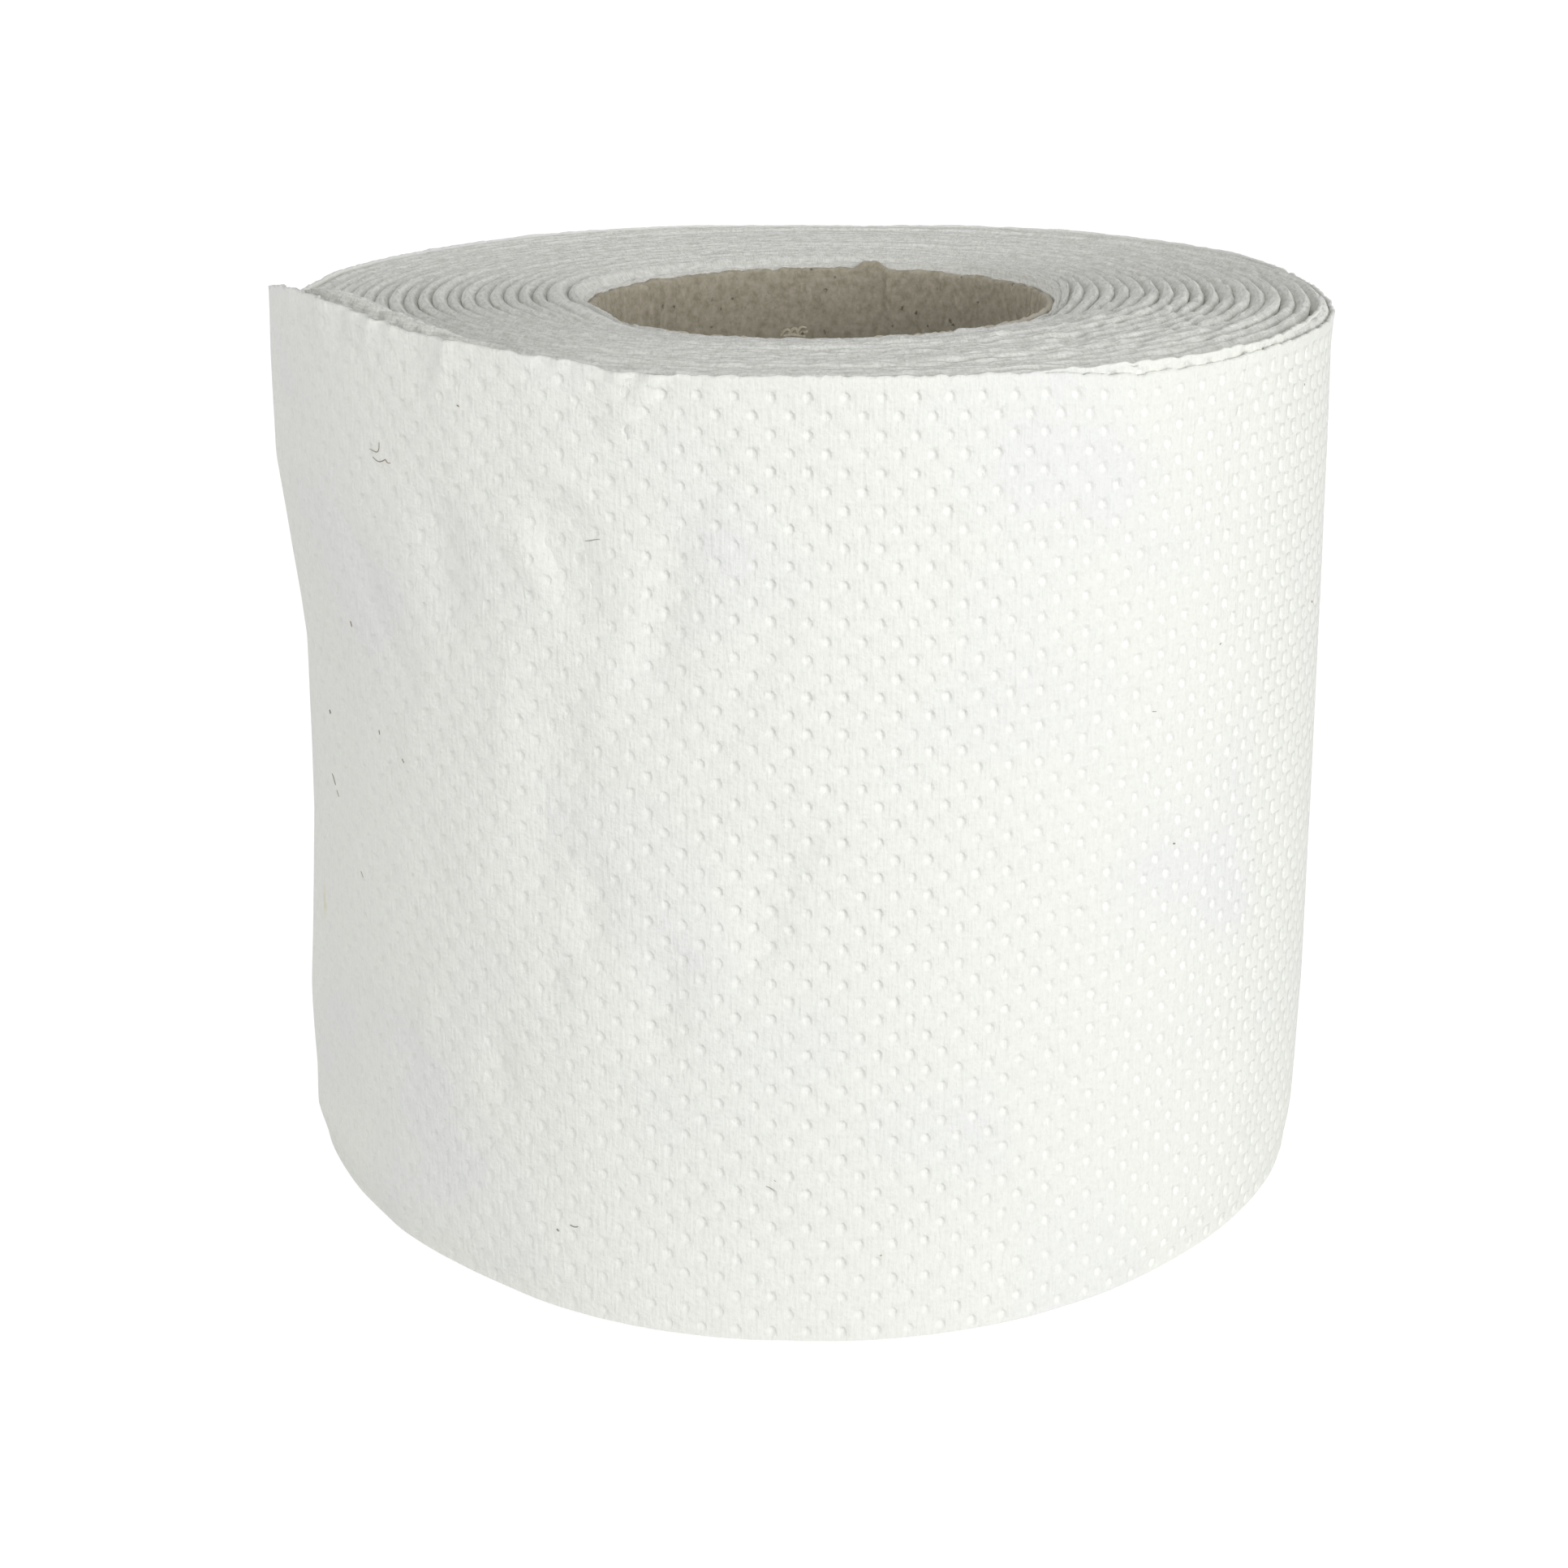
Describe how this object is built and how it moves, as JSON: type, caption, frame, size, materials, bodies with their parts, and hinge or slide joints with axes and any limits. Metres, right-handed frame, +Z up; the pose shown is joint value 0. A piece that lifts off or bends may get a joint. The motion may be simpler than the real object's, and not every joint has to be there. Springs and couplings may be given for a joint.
{
  "type": "toilet paper roll",
  "caption": "Round roll of embossed white tissue on a cardboard core tube, standing on its end with a loose tail at its side.",
  "frame": {"origin": "centre of the core tube's bore, on the surface that the roll stands on", "axes": "+Z up along the core's axis; -Y is the front, and the loose tail hangs on the -X side"},
  "size_m": [0.1122, 0.1105, 0.098],
  "materials": {
    "core_board": "matt recycled board",
    "tissue": "soft creped and embossed tissue"
  },
  "bodies": {
    "root": {"core_tube": "core_board", "tissue_web": "tissue"}
  },
  "joints": []
}
